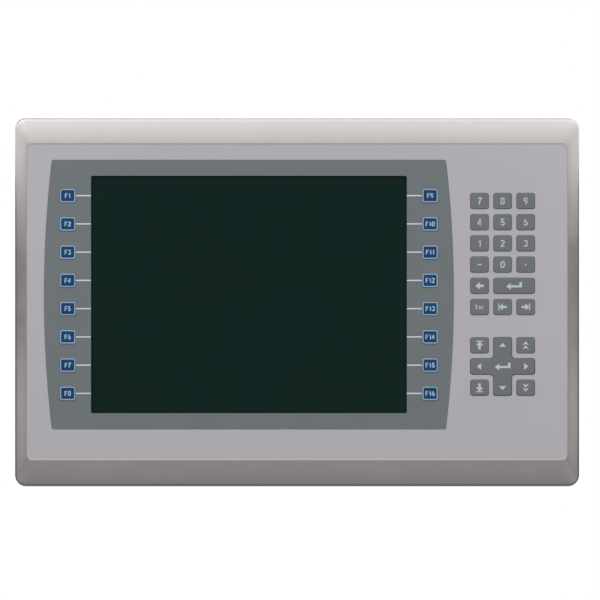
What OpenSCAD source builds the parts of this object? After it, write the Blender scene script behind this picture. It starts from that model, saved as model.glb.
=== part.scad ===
// Panel-mounted operator terminal: a 10.4 inch touch screen between two columns of function keys,
// with a number pad and a cursor pad to its right, in a bezel that seals against a control panel.
// Behind the panel are a housing, a logic module with its ports, and four cam levers that clamp the panel.
//
// Axes: X to the right, Y backwards into the cabinet, Z up, as seen by the operator.
// The plane y = 0 is the front of the control panel, where the gasket seats.

/* [Bezel] */
// Width of the bezel
bezel_w = 380.4; // [378:0.2:392]
// Height of the bezel
bezel_h = 248.6; // [246:0.2:260]
// Corner radius of the bezel
bezel_corner = 7.5; // [5:0.5:10]
// How far the bezel stands in front of the panel
bezel_rise = 9.2; // [9:0.1:10]
// Height of the bezel's upright outer edge
bezel_edge = 3.8; // [3.4:0.1:4.2]

/* [Front faces] */
// Width of the sunk front face
face_w = 365; // [364:1:366]
// Height of the sunk front face
face_h = 214; // [213:1:215]
// Corner radius of the front face
face_corner = 4; // [3:0.5:5]
// How far the front face lies below the bezel's crest
face_sink = 0.6; // [0.4:0.1:0.8]
// Thickness of the front face plates
face_t = 1.2; // [1:0.1:1.4]
// Width of the display surround at half height
surround_w = 276.4; // [275:0.2:277]
// Width of the display surround at its top and bottom
surround_end_w = 265.8; // [264:0.2:268]
// Height of the display surround
surround_h = 181.7; // [180:0.1:183]
// How much is cut off each corner of the display surround
surround_cut = 0.8; // [0.4:0.1:1.2]

/* [Display] */
// Centre of the display to the right of the bezel's centre
display_x = -32.5; // [-33:0.5:-32]
// Centre of the display above the bezel's centre
display_z = 5.1; // [4.5:0.1:5.5]
// Width of the display window
window_w = 213; // [212:0.5:214]
// Height of the display window
window_h = 160.1; // [159:0.1:161]

/* [Keys] */
// Width of a function key
function_key_w = 10.6; // [10:0.1:11]
// Height of a function key
function_key_h = 9.3; // [8.8:0.1:9.8]
// Spacing of the function keys
function_key_pitch = 19.05; // [18.5:0.05:19.2]
// Distance of each function key column from the display's centre
function_key_reach = 122.2; // [121.8:0.1:122.6]
// Width of a pad key
pad_key_w = 12.2; // [12:0.05:13]
// Height of a pad key
pad_key_h = 10.55; // [10:0.05:11.5]
// Spacing of the pad keys across
pad_pitch_x = 15.55; // [15.2:0.05:15.8]
// Spacing of the pad keys down
pad_pitch_z = 14.3; // [14:0.1:14.6]
// Middle column of the pads, from the bezel's centre
pad_x = 138.6; // [138:0.1:139]
// Top row of the number pad, from the bezel's centre
number_pad_z = 68.2; // [67:0.1:69]
// Middle row of the cursor pad, from the bezel's centre
cursor_pad_z = -43.4; // [-44:0.1:-43]
// Travel of a key
key_travel = 0.7; // [0.4:0.1:0.7]
// How far a key stands out of its plate
key_proud = 0.5; // [0.3:0.1:0.5]
// Gap around a key
key_gap = 0.2; // [0.2:0.05:0.3]

/* [Housing] */
// Width of the housing behind the panel
housing_w = 350; // [348:1:352]
// Height of the housing
housing_h = 218; // [216:1:220]
// How far the housing reaches behind the panel
housing_d = 36; // [36:1:40]
// Width of the logic module
module_w = 190; // [190:1:196]
// Height of the logic module
module_h = 150; // [150:1:156]
// Depth of the logic module
module_d = 26; // [26:1:30]

/* [Mounting levers] */
// Distance of each lever from the middle
lever_x = 105; // [95:1:115]
// Distance of the lever's pivot behind the panel's front
lever_y = 16; // [16:0.5:17]
// Radius of the cam
cam_r = 11.5; // [11.3:0.1:11.6]
// Offset of the cam's centre from its pivot
cam_offset = 3.2; // [3:0.1:3.3]
// Length of the lever's arm from its pivot
lever_arm = 20; // [18:1:22]

/* [Hidden] */
$fn = 64;
arc_fn = 256;

// Depths of the front layers, negative towards the operator
crest_y = -bezel_rise;
face_y = crest_y + face_sink;
deck_y = face_y + face_t;
deck_back_y = deck_y + 3;
rim_back_y = -0.8;
edge_front_y = rim_back_y - bezel_edge;
surround_y = face_y - 0.15;

// Gasket and panel cutout
gasket_floor_y = -2.8;
gasket_in_w = housing_w + 8;
gasket_in_h = housing_h + 8;
gasket_land = 8;

// Bezel interior
cavity_w = housing_w - 4;
cavity_h = housing_h - 4;
slope_land = 0.9;

// Touch glass and liquid crystal panel
glass_w = window_w + 13;
glass_h = window_h + 13;
glass_t = 2.2;
lcd_t = 8.2;

// Keys
pad_corner = 1.8;
flange_w = 0.7;
key_top_y = face_y - key_proud;
flange_front_y = deck_y + 0.2;
flange_back_y = flange_front_y + 0.8;
stem_end_y = -1.6 - key_travel - 0.1;
stem_r = 1.7;

// Silicone mats and key boards
mat_t = 1.2;
board_t = 1.6;
board_y = -1.6;

// Cursor pad's universal joint
pivot_y = -4.9;
trunnion_r = 0.8;
trunnion_reach = 6.3;
joint_gap = 0.05;
ear_in = 4.2;
ear_t = 2.2;
ear_r = 1.5;
post_w = 6;
nub_t = 0.7;
cap_back_y = -6.9;
cross_gap = 0.3;
cross_w = pad_key_w + 2 * pad_pitch_x;
cross_h = pad_key_h + 2 * pad_pitch_z;
cross_fillet = 2.3;

// Housing and logic module
wall = 2;
module_wall = 2.2;
module_z = 5;
module_front_y = housing_d;
module_back_y = housing_d + module_d;
module_bottom_z = module_z - module_h / 2;
module_side_x = module_w / 2;
post_r = 4;
housing_post_x = [-165, 0, 165];
housing_post_z = 100;
module_post_x = module_w / 2 - 7;
module_post_z = module_h / 2 - 6;
screw_r = 1.5;
screw_hole_r = 1.7;
head_r = 2.9;
head_t = 2;

// Main board
main_board_y = module_front_y + 5;
main_board_w = 168;
main_board_h = 134;
board_top_y = main_board_y + board_t;

// Ports along the logic module's lower side: distance from the middle
power_x = -71;
serial_x = -39;
network_x = -8;
usb_x = [15, 33];
reset_x = 50;
port_y = 49.4;
usb_y = 45.8;
reset_r = 2;
plug_w = 16.8;
plug_d = 11.2;
plug_top_z = module_bottom_z + 7.5;
plug_bottom_z = module_bottom_z - 12;

// Memory card slot on the logic module's right side
slot_z = 4;
slot_h = 43;
slot_y = 48.5;
slot_t = 5;
slot_depth = 40;
door_axis_x = module_side_x + 1.8;
door_axis_y = 56;
door_h = 48;

// Levers
lever_gap = 0.4;
cam_t = 7.2;
arm_t = 5.5;
arm_w = 9;
stud_r = 3.95;
lever_thread_r = 2;
cam_turn = 22;

// Ground stud
ground_x = -150;
ground_y = 24;
ground_r = 2;
ground_l = 9;

// Name, column, row and width in columns of each number pad key
NUMBER_KEYS = [
    ["key_7", 0, 0, 1], ["key_8", 1, 0, 1], ["key_9", 2, 0, 1],
    ["key_4", 0, 1, 1], ["key_5", 1, 1, 1], ["key_6", 2, 1, 1],
    ["key_1", 0, 2, 1], ["key_2", 1, 2, 1], ["key_3", 2, 2, 1],
    ["key_minus", 0, 3, 1], ["key_0", 1, 3, 1], ["key_point", 2, 3, 1],
    ["key_backspace", 0, 4, 1], ["key_enter", 1, 4, 2],
    ["key_escape", 0, 5, 1], ["key_tab_back", 1, 5, 1], ["key_tab_forward", 2, 5, 1],
];
// Name, side and height of each corner key of the cursor pad
CORNER_KEYS = [
    ["key_home", -1, 1], ["key_page_up", 1, 1],
    ["key_end", -1, -1], ["key_page_down", 1, -1],
];
// Name, side and height of each mounting lever
LEVERS = [
    ["lever_top_left", -1, 1], ["lever_top_right", 1, 1],
    ["lever_bottom_left", -1, -1], ["lever_bottom_right", 1, -1],
];
FUNCTION_KEYS = [for (i = [1:16]) str("function_key_", i < 10 ? "0" : "", i)];

// Centres of the keys, as [x, z]
function function_key_at(i) = [
    display_x + (i < 8 ? -1 : 1) * function_key_reach,
    display_z + (3.5 - i % 8) * function_key_pitch,
];
function number_key_w(k) = pad_key_w + (k[3] - 1) * pad_pitch_x;
function number_key_at(k) = [
    pad_x + (k[1] - 1 + (k[3] - 1) / 2) * pad_pitch_x,
    number_pad_z - k[2] * pad_pitch_z,
];
function corner_key_at(k) = [pad_x + k[1] * pad_pitch_x, cursor_pad_z + k[2] * pad_pitch_z];

// ---- Shared shapes ----

// A rectangle with round corners, centred
module rounded(w, h, r) {
    square([w - 2 * r, h], center = true);
    square([w, h - 2 * r], center = true);
    for (sx = [-1, 1], sz = [-1, 1])
        translate([sx * (w / 2 - r), sz * (h / 2 - r)]) circle(r);
}

// Extrudes a sketch of the front view between two depths
module slab(y0, y1) {
    translate([0, y1, 0]) rotate([90, 0, 0]) linear_extrude(y1 - y0) children();
}

// A box between two corners
module block(low, high) {
    translate(low) cube(high - low);
}

// A cylinder along Y between two depths
module rod_y(x, z, r, y0, y1) {
    translate([x, y0, z]) rotate([-90, 0, 0]) cylinder(h = y1 - y0, r = r);
}

// A cylinder along Z between two heights
module rod_z(x, y, r, z0, z1) {
    translate([x, y, z0]) cylinder(h = z1 - z0, r = r);
}

// Where a key's sketch goes in the front view
module at(place) {
    translate([place[0], place[1], 0]) children();
}

// ---- Front view sketches ----

module surround_outline(grow) {
    bulge = (surround_w - surround_end_w) / 2;
    side_r = (pow(surround_h / 2, 2) + pow(bulge, 2)) / (2 * bulge);
    cut = surround_end_w / 2 + surround_h / 2 - surround_cut + grow * sqrt(2);
    at([display_x, display_z]) intersection() {
        polygon([[cut, 0], [0, cut], [-cut, 0], [0, -cut]]);
        square([surround_w + 2 * grow, surround_h + 2 * grow], center = true);
        translate([surround_w / 2 - side_r, 0]) circle(side_r + grow, $fn = arc_fn);
        translate([side_r - surround_w / 2, 0]) circle(side_r + grow, $fn = arc_fn);
    }
}

module cross_outline(grow) {
    rounded(cross_w + 2 * grow, pad_key_h + 2 * grow, pad_corner);
    rounded(pad_key_w + 2 * grow, cross_h + 2 * grow, pad_corner);
    for (sx = [-1, 1], sz = [-1, 1]) scale([sx, sz])
        translate([pad_key_w / 2 + grow, pad_key_h / 2 + grow]) difference() {
            square(cross_fillet);
            translate([cross_fillet, cross_fillet]) circle(cross_fillet);
        }
}

module pad_key_outlines(grow) {
    for (k = NUMBER_KEYS)
        at(number_key_at(k)) rounded(number_key_w(k) + 2 * grow, pad_key_h + 2 * grow, pad_corner);
    for (k = CORNER_KEYS)
        at(corner_key_at(k)) rounded(pad_key_w + 2 * grow, pad_key_h + 2 * grow, pad_corner);
}

module function_key_outlines(grow) {
    for (i = [0:15])
        at(function_key_at(i)) rounded(function_key_w + 2 * grow, function_key_h + 2 * grow, pad_corner);
}

// ---- Front assembly ----

// Half a bezel's cross-section, with its crest at one depth and a crowned slope down to the upright edge
module slope_half(half, land_end, crown) {
    run = half - land_end;
    fall = edge_front_y - crest_y;
    chord = sqrt(run * run + fall * fall);
    arc_r = (pow(chord / 2, 2) + pow(crown, 2)) / (2 * crown);
    polygon([[0, rim_back_y], [0, crest_y], [land_end, crest_y], [half, edge_front_y], [half, rim_back_y]]);
    intersection() {
        polygon([[land_end, crest_y], [half, edge_front_y],
                 [half + crown, crest_y], [half, crest_y - crown], [land_end, crest_y - crown]]);
        translate([(half + land_end) / 2 - (arc_r - crown) * fall / chord,
                   (edge_front_y + crest_y) / 2 + (arc_r - crown) * run / chord])
            circle(arc_r, $fn = arc_fn);
    }
}

module slope_profile(half, land_end, crown) {
    slope_half(half, land_end, crown);
    mirror([1, 0]) slope_half(half, land_end, crown);
}

module deck_openings() {
    at([display_x, display_z]) square([glass_w - 9, glass_h - 9], center = true);
    for (side = [-1, 1])
        at([display_x + side * function_key_reach, display_z])
            rounded(function_key_w + 3, 7 * function_key_pitch + function_key_h + 3, 2);
    pad_mid = number_pad_z - 2.5 * pad_pitch_z;
    at([pad_x, pad_mid]) rounded(cross_w + 3, 5 * pad_pitch_z + pad_key_h + 3, 2);
    at([pad_x, cursor_pad_z]) rounded(cross_w + 3, cross_h + 3, 2);
}

module front_bezel() color("silver") difference() {
    union() {
        difference() {
            intersection() {
                slab(crest_y, rim_back_y) rounded(bezel_w, bezel_h, bezel_corner);
                linear_extrude(bezel_h + 2, center = true)
                    slope_profile(bezel_w / 2, face_w / 2 + slope_land, 0.5);
                rotate([0, -90, 0]) linear_extrude(bezel_w + 2, center = true)
                    slope_profile(bezel_h / 2, face_h / 2 + slope_land, 0.8);
            }
            slab(crest_y - 1, deck_y) rounded(face_w, face_h, face_corner);
            slab(deck_y - 1, deck_back_y + 1) deck_openings();
            slab(deck_y - 1, deck_y + glass_t) at([display_x, display_z])
                square([glass_w + 1, glass_h + 1], center = true);
            slab(deck_back_y, rim_back_y + 1) rounded(cavity_w, cavity_h, 3);
            slab(gasket_floor_y, rim_back_y + 1) gasket_outline(0.2);
        }
        for (x = housing_post_x, side = [-1, 1])
            rod_y(x, side * housing_post_z, post_r, deck_back_y - 0.5, housing_d - wall);
    }
    for (x = housing_post_x, side = [-1, 1])
        rod_y(x, side * housing_post_z, screw_hole_r, housing_d - wall - 12, housing_d);
}

module faceplate() color([0.67, 0.66, 0.69]) slab(face_y, deck_y) difference() {
    rounded(face_w - 0.3, face_h - 0.3, face_corner - 0.15);
    surround_outline(0.05);
    pad_key_outlines(key_gap);
    at([pad_x, cursor_pad_z]) cross_outline(cross_gap);
}

module display_surround() color([0.43, 0.45, 0.46]) slab(surround_y, deck_y) difference() {
    surround_outline(0);
    at([display_x, display_z]) rounded(window_w, window_h, 1.2);
    function_key_outlines(key_gap);
}

module touch_screen() color([0.08, 0.15, 0.13]) slab(deck_y, deck_y + glass_t)
    at([display_x, display_z]) square([glass_w, glass_h], center = true);

module lcd_panel() color([0.6, 0.62, 0.64]) {
    difference() {
        slab(deck_back_y, deck_back_y + lcd_t) at([display_x, display_z])
            square([glass_w, glass_h + 3], center = true);
        slab(deck_back_y - 1, deck_back_y + 3) at([display_x, display_z])
            square([window_w + 1, window_h + 1], center = true);
    }
    slab(deck_back_y + 0.5, deck_back_y + 3) at([display_x, display_z])
        square([window_w + 1, window_h + 1], center = true);
}

module gasket_outline(grow) {
    difference() {
        rounded(gasket_in_w + 2 * gasket_land + 2 * grow, gasket_in_h + 2 * gasket_land + 2 * grow, 4);
        rounded(gasket_in_w - 2 * grow, gasket_in_h - 2 * grow, 3);
    }
}

module panel_gasket() color([0.12, 0.12, 0.12]) slab(gasket_floor_y, 0) gasket_outline(0);

// ---- Keys ----

// A key: its cap in the plate, the flange that keeps it in, and the stem that closes its contact
module key(place, w, h, top_y) {
    slab(top_y, flange_front_y) at(place) rounded(w, h, pad_corner);
    slab(flange_front_y, flange_back_y) at(place) rounded(w + 2 * flange_w, h + 2 * flange_w, pad_corner);
    rod_y(place[0], place[1], stem_r, flange_back_y, stem_end_y);
}

module function_key(i) color([0.13, 0.27, 0.42])
    key(function_key_at(i), function_key_w, function_key_h, surround_y - key_proud);

module number_key(k) color([0.43, 0.45, 0.47])
    key(number_key_at(k), number_key_w(k), pad_key_h, key_top_y);

module corner_key(k) color([0.43, 0.45, 0.47])
    key(corner_key_at(k), pad_key_w, pad_key_h, key_top_y);

// The universal joint's two ears along Z, each standing on a foot that reaches to foot_y
module joint_ears(foot_y) {
    for (side = [-1, 1]) translate([0, 0, side * (ear_in + ear_t / 2)]) {
        block([-ear_r, min(foot_y, pivot_y), -ear_t / 2], [ear_r, max(foot_y, pivot_y), ear_t / 2]);
        rod_z(0, pivot_y, ear_r, -ear_t / 2, ear_t / 2);
    }
}

module joint_bore() {
    rod_z(0, pivot_y, trunnion_r + joint_gap, -2 * trunnion_reach, 2 * trunnion_reach);
}

// The cross-shaped cap rocks on the gimbal, and the gimbal rocks on the post, which slides in
module cursor_pad() color([0.43, 0.45, 0.47]) translate([pad_x, 0, cursor_pad_z]) {
    slab(key_top_y, cap_back_y) cross_outline(0);
    rotate([0, 90, 0]) difference() {
        joint_ears(cap_back_y - 0.3);
        joint_bore();
    }
    for (side = [-1, 1]) {
        rod_y(side * pad_pitch_x, 0, stem_r, cap_back_y - 0.3, cap_back_y + nub_t);
        rod_y(0, side * pad_pitch_z, stem_r, cap_back_y - 0.3, cap_back_y + nub_t);
    }
}

module cursor_gimbal() color("silver") translate([pad_x, pivot_y, cursor_pad_z]) {
    cube([5, 2.4, 5], center = true);
    cylinder(h = 2 * trunnion_reach, r = trunnion_r, center = true);
    rotate([0, 90, 0]) cylinder(h = 2 * trunnion_reach, r = trunnion_r, center = true);
}

module cursor_post() color([0.2, 0.2, 0.2]) translate([pad_x, 0, cursor_pad_z]) difference() {
    union() {
        block([-post_w / 2, stem_end_y - 0.8, -ear_in - ear_t], [post_w / 2, stem_end_y, ear_in + ear_t]);
        joint_ears(stem_end_y - 0.4);
    }
    joint_bore();
}

// A tray under a block of keys: its floor lies on the deck's back and its rim on the key board
module mat(x, z, w, h) {
    difference() {
        slab(deck_back_y, board_y) at([x, z]) rounded(w, h, 2);
        slab(deck_back_y + mat_t, board_y + 1) at([x, z]) square([w - 4, h - 4], center = true);
        children();
    }
}

module key_mats() color([0.3, 0.3, 0.32]) {
    column_h = 7 * function_key_pitch + 18;
    pad_h = number_pad_z - cursor_pad_z + pad_pitch_z + 20;
    for (side = [0, 8])
        mat(function_key_at(side)[0], display_z, 17, column_h)
            for (i = [side:side + 7])
                rod_y(function_key_at(i)[0], function_key_at(i)[1], stem_r + 0.4, deck_back_y - 1, 0);
    mat(pad_x, number_pad_z + 10 - pad_h / 2, cross_w + 8, pad_h) {
        for (k = NUMBER_KEYS)
            rod_y(number_key_at(k)[0], number_key_at(k)[1], stem_r + 0.4, deck_back_y - 1, 0);
        for (k = CORNER_KEYS)
            rod_y(corner_key_at(k)[0], corner_key_at(k)[1], stem_r + 0.4, deck_back_y - 1, 0);
        slab(deck_back_y - 1, 0) at([pad_x, cursor_pad_z]) square([15, 14.4], center = true);
    }
}

module key_boards() color([0.1, 0.35, 0.2]) {
    column_h = 7 * function_key_pitch + 18;
    pad_h = number_pad_z - cursor_pad_z + pad_pitch_z + 20;
    for (side = [0, 8])
        slab(board_y, board_y + board_t) at([function_key_at(side)[0], display_z])
            square([17, column_h], center = true);
    slab(board_y, board_y + board_t) at([pad_x, number_pad_z + 10 - pad_h / 2])
        square([cross_w + 8, pad_h], center = true);
}

// ---- Behind the panel ----

// A row of slots with round ends, as a front view sketch
module vent_rows(count, pitch, length, width) {
    for (i = [0:count - 1])
        translate([0, (i - (count - 1) / 2) * pitch]) rounded(length, width, width / 2 - 0.01);
}

module rear_housing() color([0.75, 0.76, 0.77]) {
    difference() {
        slab(rim_back_y, housing_d) rounded(housing_w, housing_h, 4);
        slab(rim_back_y - 1, housing_d - wall) rounded(housing_w - 2 * wall, housing_h - 2 * wall, 2);
        slab(housing_d - wall - 1, housing_d + 1) {
            at([0, module_z]) square([36, 30], center = true);
            for (side = [-1, 1]) at([side * 134, 0]) vent_rows(13, 12, 44, 3.6);
        }
        for (x = housing_post_x, side = [-1, 1])
            rod_y(x, side * housing_post_z, screw_hole_r, housing_d - wall - 1, housing_d + 1);
        for (sx = [-1, 1], sz = [-1, 1])
            rod_y(sx * module_post_x, module_z + sz * module_post_z, screw_hole_r,
                  housing_d - wall - 1, housing_d + 1);
        for (side = [-1, 1], i = [-7:7])
            translate([i * 10, 20, side * housing_h / 2]) linear_extrude(3 * wall, center = true)
                rounded(3.6, 18, 1.79);
        for (sx = [-1, 1])
            rod_z(sx * lever_x, lever_y, lever_thread_r + 0.1, -housing_h, housing_h);
    }
    rod_z(ground_x, ground_y, ground_r, -housing_h / 2 - ground_l, -housing_h / 2 + 1);
    rod_z(ground_x, ground_y, ground_r + 2, -housing_h / 2 - 1, -housing_h / 2 + 1);
}

// The solid part of a cam lever on the upper side, at rest with its arm pointing back
module lever_shape() {
    translate([0, 0, lever_gap]) {
        rotate([0, 0, cam_turn]) translate([cam_offset, 0, 0]) cylinder(h = cam_t, r = cam_r, $fn = 96);
        linear_extrude(arm_t) {
            translate([-arm_w / 2, 0]) square([arm_w, lever_arm - arm_w / 2]);
            translate([0, lever_arm - arm_w / 2]) circle(arm_w / 2);
        }
    }
}

module lever(l) color([0.25, 0.26, 0.28])
    scale([l[1], 1, l[2]]) translate([lever_x, lever_y, housing_h / 2]) difference() {
        lever_shape();
        translate([0, 0, -1]) cylinder(h = cam_t + 4, r = stud_r + 0.05);
    }

// ---- Logic module ----

module port_cutouts() {
    z0 = module_bottom_z - 1;
    z1 = module_bottom_z + module_wall + 1;
    block([power_x - 10.1, port_y - 7.1, z0], [power_x + 10.1, port_y + 7.1, z1]);
    block([serial_x - 9.6, port_y - 5.6, z0], [serial_x + 9.6, port_y + 5.6, z1]);
    block([network_x - 8.3, port_y - 7, z0], [network_x + 8.3, port_y + 7, z1]);
    for (x = usb_x)
        block([x - 6.9, usb_y - 3.3, z0], [x + 6.9, usb_y + 3.3, z1]);
    rod_z(reset_x, usb_y, reset_r + 0.1, z0, z1);
}

module card_cage() {
    difference() {
        block([module_side_x - slot_depth - 2, slot_y - slot_t / 2 - 1.6, slot_z - slot_h / 2 - 2],
              [module_side_x - 1, slot_y + slot_t / 2 + 1.6, slot_z + slot_h / 2 + 2]);
        card_slot();
    }
}

module card_slot() {
    block([module_side_x - slot_depth, slot_y - slot_t / 2, slot_z - slot_h / 2],
          [module_side_x + 1, slot_y + slot_t / 2, slot_z + slot_h / 2]);
}

// One of the two ears that hold the card door's pin
module door_ear(side) {
    z_out = slot_z + side * door_h / 2;
    z_in = slot_z + side * (door_h / 2 - 5);
    difference() {
        union() {
            rod_z(door_axis_x, door_axis_y, 1.7, min(z_in, z_out), max(z_in, z_out));
            block([module_side_x - 0.5, door_axis_y - 1.7, min(z_in, z_out)],
                  [door_axis_x, door_axis_y + 1.7, max(z_in, z_out)]);
        }
        rod_z(door_axis_x, door_axis_y, 0.95, min(z_in, z_out) - 1, max(z_in, z_out) + 1);
    }
}

module logic_housing() color([0.2, 0.21, 0.22]) {
    difference() {
        union() {
            difference() {
                slab(module_front_y, module_back_y) at([0, module_z]) rounded(module_w, module_h, 5);
                slab(module_front_y - 1, module_back_y - module_wall) at([0, module_z])
                    rounded(module_w - 2 * module_wall, module_h - 2 * module_wall, 3);
            }
            for (sx = [-1, 1], sz = [-1, 1])
                rod_y(sx * module_post_x, module_z + sz * module_post_z, 3.5,
                      module_front_y, module_back_y - 1);
            card_cage();
        }
        for (sx = [-1, 1], sz = [-1, 1])
            rod_y(sx * module_post_x, module_z + sz * module_post_z, screw_hole_r,
                  module_front_y - 1, module_back_y + 1);
        card_slot();
        port_cutouts();
        slab(module_back_y - module_wall - 1, module_back_y + 1)
            for (side = [-1, 1]) at([side * 42, module_z + 22]) vent_rows(7, 8, 56, 3);
    }
    door_ear(-1);
    door_ear(1);
}

module main_board() color([0.1, 0.35, 0.2]) {
    slab(main_board_y, board_top_y) at([0, module_z]) square([main_board_w, main_board_h], center = true);
    for (sx = [-1, 1], sz = [-1, 1])
        rod_y(sx * 78, module_z + sz * 60, 3, module_front_y, main_board_y);
    // processor and its heat sink, memory, power coils and capacitors, and the clock battery
    block([-24, board_top_y, -6], [16, board_top_y + 2.5, 34]);
    for (i = [0:7])
        block([-24 + i * 5.2, board_top_y + 2.5, -6], [-21 + i * 5.2, board_top_y + 12, 34]);
    for (i = [0:3])
        block([-60, board_top_y, 8 + i * 13], [-38, board_top_y + 1.4, 18 + i * 13]);
    for (i = [0:2]) {
        rod_y(-70 + i * 13, -34, 5, board_top_y, board_top_y + 13);
        block([-76 + i * 13, board_top_y, -22], [-65 + i * 13, board_top_y + 7, -11]);
    }
    rod_y(36, 52, 10.2, board_top_y, board_top_y + 5);
    // the switch behind the reset button
    block([reset_x - 3, board_top_y, module_bottom_z + 8.9],
          [reset_x + 3, board_top_y + 5.6, module_bottom_z + 14]);
}

// A connector's outer shell along Z, with its own cavity
module port_shell(x, y, w, d, inner_w, inner_d, top, depth) {
    difference() {
        block([x - w / 2, y - d / 2, module_bottom_z - 0.3], [x + w / 2, y + d / 2, module_bottom_z + top]);
        block([x - inner_w / 2, y - inner_d / 2, module_bottom_z - 1],
              [x + inner_w / 2, y + inner_d / 2, module_bottom_z + depth]);
    }
}

// The D-shaped outline of a serial connector
module d_outline(w, d) {
    polygon([[-w / 2, -d / 2], [w / 2, -d / 2], [w / 2 - 1.4, d / 2], [1.4 - w / 2, d / 2]]);
}

module serial_port() {
    z_face = module_bottom_z;
    translate([serial_x, port_y, 0]) {
        difference() {
            union() {
                block([-15.4, -6.25, z_face - 0.8], [15.4, 6.25, z_face]);
                translate([0, 0, z_face - 6]) linear_extrude(6) d_outline(17.6, 9);
                block([-9.3, -5.3, z_face - 0.1], [9.3, 5.3, z_face + 10]);
                for (side = [-1, 1])
                    translate([side * 12.5, 0, z_face - 5.8]) cylinder(h = 5.1, r = 2.8, $fn = 6);
            }
            translate([0, 0, z_face - 7]) linear_extrude(7) d_outline(16.4, 7.8);
            for (side = [-1, 1])
                translate([side * 12.5, 0, z_face - 7]) cylinder(h = 6.5, r = 1.42);
        }
        for (i = [-2:2])
            translate([i * 2.76, -1.42, z_face - 5]) cylinder(h = 6, r = 0.5);
        for (i = [-1.5:1.5])
            translate([i * 2.76, 1.42, z_face - 5]) cylinder(h = 6, r = 0.5);
    }
}

module io_connectors() color([0.55, 0.57, 0.58]) {
    port_shell(power_x, port_y, 19.8, 13.6, plug_w + 0.6, plug_d + 0.6, 12, 8);
    serial_port();
    port_shell(network_x, port_y, 16, 13.5, 11.9, 8, 20, 12);
    for (x = usb_x) {
        port_shell(x, usb_y, 13.2, 6, 12.3, 5.1, 14, 10);
        block([x - 5.5, usb_y + 0.3, module_bottom_z + 0.8], [x + 5.5, usb_y + 2.1, module_bottom_z + 10.5]);
    }
}

module power_plug() color([0.15, 0.4, 0.25]) difference() {
    block([power_x - plug_w / 2, port_y - plug_d / 2, plug_bottom_z],
          [power_x + plug_w / 2, port_y + plug_d / 2, plug_top_z]);
    for (i = [-1:1]) {
        rod_z(power_x + i * 5.08, port_y - 2, 1.6, plug_bottom_z - 1, plug_bottom_z + 9);
        rod_y(power_x + i * 5.08, plug_bottom_z + 5.5, 1.7, port_y + 2, port_y + plug_d);
    }
}

module reset_button() color([0.1, 0.1, 0.1]) {
    rod_z(reset_x, usb_y, reset_r, module_bottom_z - 0.4, module_bottom_z + 8);
    rod_z(reset_x, usb_y, reset_r + 0.9,
          module_bottom_z + module_wall + 0.1, module_bottom_z + module_wall + 1);
}

module card_door() color([0.2, 0.21, 0.22]) {
    barrel_z0 = slot_z - door_h / 2 + 5.3;
    barrel_z1 = slot_z + door_h / 2 - 5.3;
    block([module_side_x + 0.2, slot_y - 6, slot_z - door_h / 2],
          [module_side_x + 2, door_axis_y - 2.1, slot_z + door_h / 2]);
    block([module_side_x + 0.6, door_axis_y - 2.5, barrel_z0], [module_side_x + 2, door_axis_y, barrel_z1]);
    block([module_side_x + 1.6, slot_y - 6, slot_z - 8], [module_side_x + 3, slot_y - 4.8, slot_z + 8]);
    rod_z(door_axis_x, door_axis_y, 1.6, barrel_z0, barrel_z1);
    rod_z(door_axis_x, door_axis_y, 0.9, slot_z - door_h / 2 + 0.5, slot_z + door_h / 2 - 0.5);
}

// ---- Fasteners ----

// A pan-head screw pointing forwards, with its head on the plane y = top_y and a cross recess
module screw(x, z, top_y, length) {
    translate([x, top_y, z]) {
        difference() {
            rod_y(0, 0, head_r, 0, head_t);
            for (turn = [0, 90]) rotate([0, turn, 0])
                block([-1.9, head_t - 1.1, -0.45], [1.9, head_t + 1, 0.45]);
        }
        rod_y(0, 0, screw_r, -length, 0.2);
    }
}

// A shoulder screw on the upper right, with the shoulder that a lever turns on
module shoulder_screw() {
    shoulder_z = housing_h / 2 + cam_t + 2 * lever_gap;
    rod_z(lever_x, lever_y, stud_r, housing_h / 2, shoulder_z);
    rod_z(lever_x, lever_y, lever_thread_r, housing_h / 2 - wall - 2, housing_h / 2 + 1);
    difference() {
        rod_z(lever_x, lever_y, stud_r + 2.2, shoulder_z - 0.1, shoulder_z + 1.3);
        for (turn = [0:5])
            translate([lever_x, lever_y, shoulder_z + 0.4]) rotate([0, 0, turn * 60])
                linear_extrude(2) polygon([[0, 0], [2.3, -1.33], [2.3, 1.33]]);
    }
}

module screws() color([0.8, 0.8, 0.82]) {
    for (x = housing_post_x, side = [-1, 1]) screw(x, side * housing_post_z, housing_d, 10);
    for (sx = [-1, 1], sz = [-1, 1]) {
        screw(sx * module_post_x, module_z + sz * module_post_z, module_back_y, module_d + 1.5);
        scale([sx, 1, sz]) shoulder_screw();
    }
}

// ---- Nodes ----

front_bezel();
faceplate();
display_surround();
touch_screen();
lcd_panel();
key_mats();
key_boards();
panel_gasket();
rear_housing();
logic_housing();
main_board();
io_connectors();
screws();
card_door();
power_plug();
reset_button();
cursor_pad();
cursor_gimbal();
cursor_post();
for (l = LEVERS) lever(l);
for (i = [0:15]) function_key(i);
for (k = NUMBER_KEYS) number_key(k);
for (k = CORNER_KEYS) corner_key(k);
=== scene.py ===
"""Looks of a panel-mounted operator terminal: a touch screen, function keys, a number pad and a cursor pad
in a metallic bezel, with a sheet metal housing, a logic module, ports and cam levers behind.

Row frame, in metres: +X to the operator's right, +Y into the cabinet, +Z up; y = 0 is the panel's front.
"""

import math

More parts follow.
